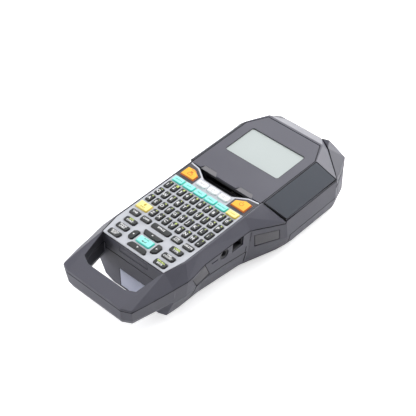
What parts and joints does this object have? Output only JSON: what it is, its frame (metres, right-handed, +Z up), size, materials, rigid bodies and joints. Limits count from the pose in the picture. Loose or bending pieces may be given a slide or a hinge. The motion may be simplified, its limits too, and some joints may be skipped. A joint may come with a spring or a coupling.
{
  "type": "handheld label maker",
  "caption": "Handheld thermal label maker with a faceted head, flat display, full keypad and loop handle.",
  "frame": {"origin": "bottom centre of the bounding box, at the level of the feet", "axes": "+X to the side with the sockets, +Y from the handle to the display head, +Z up out of the keypad"},
  "size_m": [0.133, 0.3092, 0.0745],
  "materials": {
    "casing": "fine moulded texture, satin",
    "fascia": "smooth satin",
    "side_panel": "fine moulded texture",
    "overlay": "silver printed film, satin",
    "display_window": "clear, grey display behind",
    "black_plastic": "satin black",
    "plate": "blank printed film",
    "key_dark": "matte moulded rubber",
    "key_white": "matte moulded rubber",
    "key_teal": "matte moulded rubber",
    "key_yellow": "matte moulded rubber",
    "key_orange": "matte moulded rubber",
    "board": "green solder mask",
    "nylon": "natural moulded",
    "label_paper": "wound label tape",
    "roller_rubber": "ground rubber",
    "steel": "plated"
  },
  "bodies": {
    "housing": {"keyboard_casing": "casing", "head_casing": "casing", "lower_casing": "casing", "side_panel_left": "side_panel", "side_panel_right": "side_panel", "display_fascia": "fascia", "lcd_window": "display_window", "lcd_module": "black_plastic", "keypad_overlay": "overlay", "exit_guide": "black_plastic", "rating_plate": "plate", "main_board": "board", "battery_pack": "black_plastic", "tape_cassette": "nylon", "drive_motor": "steel", "print_head": "steel", "usb_socket": "black_plastic", "dc_jack": "black_plastic"},
    "cassette_lid": {"cassette_lid": "casing"},
    "lid_latch": {"lid_latch": "black_plastic"},
    "battery_cover": {"battery_cover": "casing"},
    "platen_roller": {"platen_roller": "roller_rubber"},
    "idler_gear": {"idler_gear": "nylon"},
    "motor_pinion": {"motor_pinion": "steel"},
    "label_spool": {"label_spool": "label_paper"},
    "ribbon_spool": {"ribbon_spool": "black_plastic"},
    "cutter_blade": {"cutter_blade": "steel"},
    "power_key": {"power_key": "key_orange"},
    "print_key": {"print_key": "key_orange"},
    "menu_key_1": {"menu_key_1": "key_white"},
    "menu_key_2": {"menu_key_2": "key_white"},
    "menu_key_3": {"menu_key_3": "key_white"},
    "function_key_1": {"function_key_1": "key_teal"},
    "function_key_2": {"function_key_2": "key_teal"},
    "function_key_3": {"function_key_3": "key_teal"},
    "function_key_4": {"function_key_4": "key_teal"},
    "function_key_5": {"function_key_5": "key_teal"},
    "cancel_key": {"cancel_key": "key_yellow"},
    "shift_key": {"shift_key": "key_yellow"},
    "enter_key": {"enter_key": "key_teal"},
    "key_row_numbers": {"key_row_numbers": "key_dark"},
    "key_row_q": {"key_row_q": "key_dark"},
    "key_row_a": {"key_row_a": "key_dark"},
    "key_row_z": {"key_row_z": "key_dark"},
    "edit_key_1": {"edit_key_1": "key_dark"},
    "edit_key_2": {"edit_key_2": "key_dark"},
    "edit_key_3": {"edit_key_3": "key_dark"},
    "edit_key_4": {"edit_key_4": "key_dark"},
    "space_key": {"space_key": "key_dark"},
    "left_key_1": {"left_key_1": "key_dark"},
    "left_key_2": {"left_key_2": "key_dark"},
    "left_key_3": {"left_key_3": "key_dark"},
    "right_key_1": {"right_key_1": "key_dark"},
    "right_key_2": {"right_key_2": "key_dark"},
    "right_key_3": {"right_key_3": "key_dark"},
    "arrow_up_key": {"arrow_up_key": "key_dark"},
    "arrow_down_key": {"arrow_down_key": "key_dark"},
    "arrow_left_key": {"arrow_left_key": "key_dark"},
    "arrow_right_key": {"arrow_right_key": "key_dark"}
  },
  "joints": [
    {"name": "lid_swing", "type": "hinge", "parent": "housing", "child": "cassette_lid", "pos_m": [0, 0.0545, 0.0015], "axis": [-1, 0, 0], "range_deg": [0, 95]},
    {"name": "latch_slide", "type": "slide", "parent": "cassette_lid", "child": "lid_latch", "axis": [0, 0, -1], "range_m": [0, 0.003], "stiffness_N_per_m": 250},
    {"name": "battery_cover_slide", "type": "slide", "parent": "housing", "child": "battery_cover", "axis": [0, 0, -1], "range_m": [0, 0.03]},
    {"name": "cutter_slide", "type": "slide", "parent": "housing", "child": "cutter_blade", "axis": [0, 0, 1], "range_m": [0, 0.006]},
    {"name": "label_spool_spin", "type": "hinge", "parent": "housing", "child": "label_spool", "pos_m": [0, 0.107, 0.0235], "axis": [1, 0, 0], "continuous": true},
    {"name": "ribbon_spool_spin", "type": "hinge", "parent": "housing", "child": "ribbon_spool", "pos_m": [0, 0.0805, 0.0235], "axis": [1, 0, 0], "continuous": true},
    {"name": "platen_spin", "type": "hinge", "parent": "housing", "child": "platen_roller", "pos_m": [0, 0.044, 0.056], "axis": [1, 0, 0], "continuous": true},
    {"name": "idler_spin", "type": "hinge", "parent": "housing", "child": "idler_gear", "pos_m": [0, 0.05493, 0.04298], "axis": [1, 0, 0], "continuous": true},
    {"name": "pinion_spin", "type": "hinge", "parent": "housing", "child": "motor_pinion", "pos_m": [0, 0.06193, 0.03085], "axis": [1, 0, 0], "continuous": true},
    {"name": "power_press", "type": "slide", "parent": "housing", "child": "power_key", "axis": [0, 0, -1], "range_m": [0, 0.001], "stiffness_N_per_m": 400},
    {"name": "print_press", "type": "slide", "parent": "housing", "child": "print_key", "axis": [0, 0, -1], "range_m": [0, 0.001], "stiffness_N_per_m": 400},
    {"name": "menu_1_press", "type": "slide", "parent": "housing", "child": "menu_key_1", "axis": [0, 0, -1], "range_m": [0, 0.001], "stiffness_N_per_m": 400},
    {"name": "menu_2_press", "type": "slide", "parent": "housing", "child": "menu_key_2", "axis": [0, 0, -1], "range_m": [0, 0.001], "stiffness_N_per_m": 400},
    {"name": "menu_3_press", "type": "slide", "parent": "housing", "child": "menu_key_3", "axis": [0, 0, -1], "range_m": [0, 0.001], "stiffness_N_per_m": 400},
    {"name": "function_1_press", "type": "slide", "parent": "housing", "child": "function_key_1", "axis": [0, 0, -1], "range_m": [0, 0.001], "stiffness_N_per_m": 400},
    {"name": "function_2_press", "type": "slide", "parent": "housing", "child": "function_key_2", "axis": [0, 0, -1], "range_m": [0, 0.001], "stiffness_N_per_m": 400},
    {"name": "function_3_press", "type": "slide", "parent": "housing", "child": "function_key_3", "axis": [0, 0, -1], "range_m": [0, 0.001], "stiffness_N_per_m": 400},
    {"name": "function_4_press", "type": "slide", "parent": "housing", "child": "function_key_4", "axis": [0, 0, -1], "range_m": [0, 0.001], "stiffness_N_per_m": 400},
    {"name": "function_5_press", "type": "slide", "parent": "housing", "child": "function_key_5", "axis": [0, 0, -1], "range_m": [0, 0.001], "stiffness_N_per_m": 400},
    {"name": "cancel_press", "type": "slide", "parent": "housing", "child": "cancel_key", "axis": [0, 0, -1], "range_m": [0, 0.001], "stiffness_N_per_m": 400},
    {"name": "shift_press", "type": "slide", "parent": "housing", "child": "shift_key", "axis": [0, 0, -1], "range_m": [0, 0.001], "stiffness_N_per_m": 400},
    {"name": "enter_press", "type": "slide", "parent": "housing", "child": "enter_key", "axis": [0, 0, -1], "range_m": [0, 0.001], "stiffness_N_per_m": 400},
    {"name": "row_numbers_press", "type": "slide", "parent": "housing", "child": "key_row_numbers", "axis": [0, 0, -1], "range_m": [0, 0.001], "stiffness_N_per_m": 900},
    {"name": "row_q_press", "type": "slide", "parent": "housing", "child": "key_row_q", "axis": [0, 0, -1], "range_m": [0, 0.001], "stiffness_N_per_m": 900},
    {"name": "row_a_press", "type": "slide", "parent": "housing", "child": "key_row_a", "axis": [0, 0, -1], "range_m": [0, 0.001], "stiffness_N_per_m": 900},
    {"name": "row_z_press", "type": "slide", "parent": "housing", "child": "key_row_z", "axis": [0, 0, -1], "range_m": [0, 0.001], "stiffness_N_per_m": 900},
    {"name": "edit_1_press", "type": "slide", "parent": "housing", "child": "edit_key_1", "axis": [0, 0, -1], "range_m": [0, 0.001], "stiffness_N_per_m": 400},
    {"name": "edit_2_press", "type": "slide", "parent": "housing", "child": "edit_key_2", "axis": [0, 0, -1], "range_m": [0, 0.001], "stiffness_N_per_m": 400},
    {"name": "edit_3_press", "type": "slide", "parent": "housing", "child": "edit_key_3", "axis": [0, 0, -1], "range_m": [0, 0.001], "stiffness_N_per_m": 400},
    {"name": "edit_4_press", "type": "slide", "parent": "housing", "child": "edit_key_4", "axis": [0, 0, -1], "range_m": [0, 0.001], "stiffness_N_per_m": 400},
    {"name": "space_press", "type": "slide", "parent": "housing", "child": "space_key", "axis": [0, 0, -1], "range_m": [0, 0.001], "stiffness_N_per_m": 400},
    {"name": "left_1_press", "type": "slide", "parent": "housing", "child": "left_key_1", "axis": [0, 0, -1], "range_m": [0, 0.001], "stiffness_N_per_m": 400},
    {"name": "left_2_press", "type": "slide", "parent": "housing", "child": "left_key_2", "axis": [0, 0, -1], "range_m": [0, 0.001], "stiffness_N_per_m": 400},
    {"name": "left_3_press", "type": "slide", "parent": "housing", "child": "left_key_3", "axis": [0, 0, -1], "range_m": [0, 0.001], "stiffness_N_per_m": 400},
    {"name": "right_1_press", "type": "slide", "parent": "housing", "child": "right_key_1", "axis": [0, 0, -1], "range_m": [0, 0.001], "stiffness_N_per_m": 400},
    {"name": "right_2_press", "type": "slide", "parent": "housing", "child": "right_key_2", "axis": [0, 0, -1], "range_m": [0, 0.001], "stiffness_N_per_m": 400},
    {"name": "right_3_press", "type": "slide", "parent": "housing", "child": "right_key_3", "axis": [0, 0, -1], "range_m": [0, 0.001], "stiffness_N_per_m": 400},
    {"name": "arrow_up_press", "type": "slide", "parent": "housing", "child": "arrow_up_key", "axis": [0, 0, -1], "range_m": [0, 0.001], "stiffness_N_per_m": 400},
    {"name": "arrow_down_press", "type": "slide", "parent": "housing", "child": "arrow_down_key", "axis": [0, 0, -1], "range_m": [0, 0.001], "stiffness_N_per_m": 400},
    {"name": "arrow_left_press", "type": "slide", "parent": "housing", "child": "arrow_left_key", "axis": [0, 0, -1], "range_m": [0, 0.001], "stiffness_N_per_m": 400},
    {"name": "arrow_right_press", "type": "slide", "parent": "housing", "child": "arrow_right_key", "axis": [0, 0, -1], "range_m": [0, 0.001], "stiffness_N_per_m": 400}
  ],
  "couplings": [
    {"joint": "platen_spin", "follows": "label_spool_spin", "ratio": -2.92},
    {"joint": "idler_spin", "follows": "label_spool_spin", "ratio": 2.5956},
    {"joint": "pinion_spin", "follows": "label_spool_spin", "ratio": -4.672}
  ]
}
